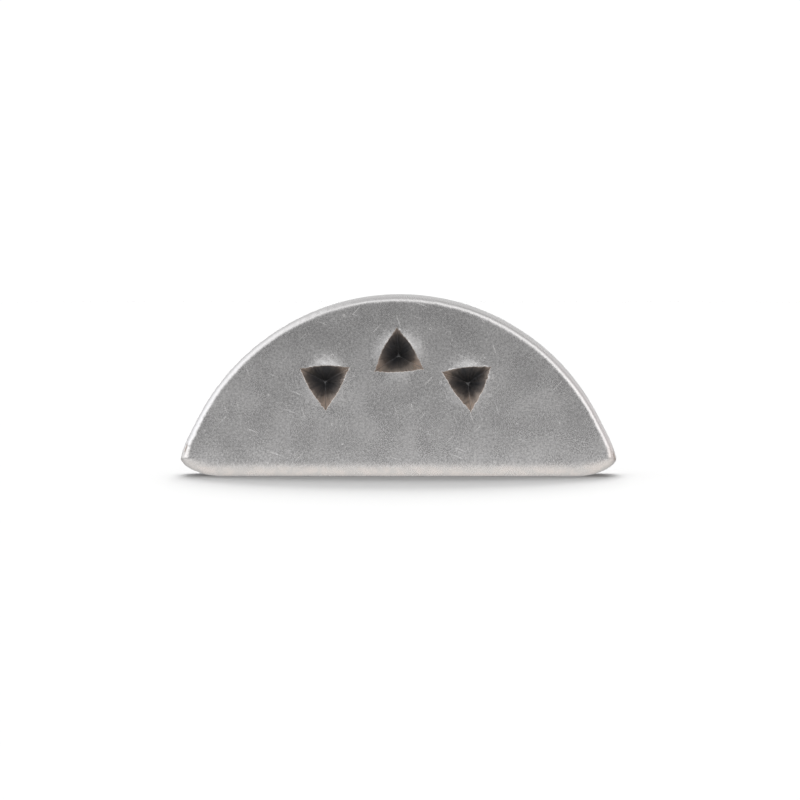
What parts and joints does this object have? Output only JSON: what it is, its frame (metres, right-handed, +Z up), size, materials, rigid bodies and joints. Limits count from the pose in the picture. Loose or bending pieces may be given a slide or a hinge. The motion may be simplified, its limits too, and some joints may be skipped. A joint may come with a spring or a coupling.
{
  "type": "woodruff key",
  "caption": "Half-moon steel shaft key with a round edge, a flat land and triangular punch marks whose raised metal grips the keyway, locking a hub to its shaft.",
  "frame": {"origin": "middle of the flat land that the key stands on", "axes": "+X along the land, to the right when the punched flank is seen from the front; +Y across the thickness, from the punched flank to the plain one; +Z up from the land to the crown of the round edge"},
  "size_m": [0.0212, 0.0051, 0.0088],
  "materials": {
    "steel": "tumbled satin grey with burnished edges, and dark scale inside the punch marks"
  },
  "bodies": {
    "root": {"woodruff_key": "steel"}
  },
  "joints": []
}
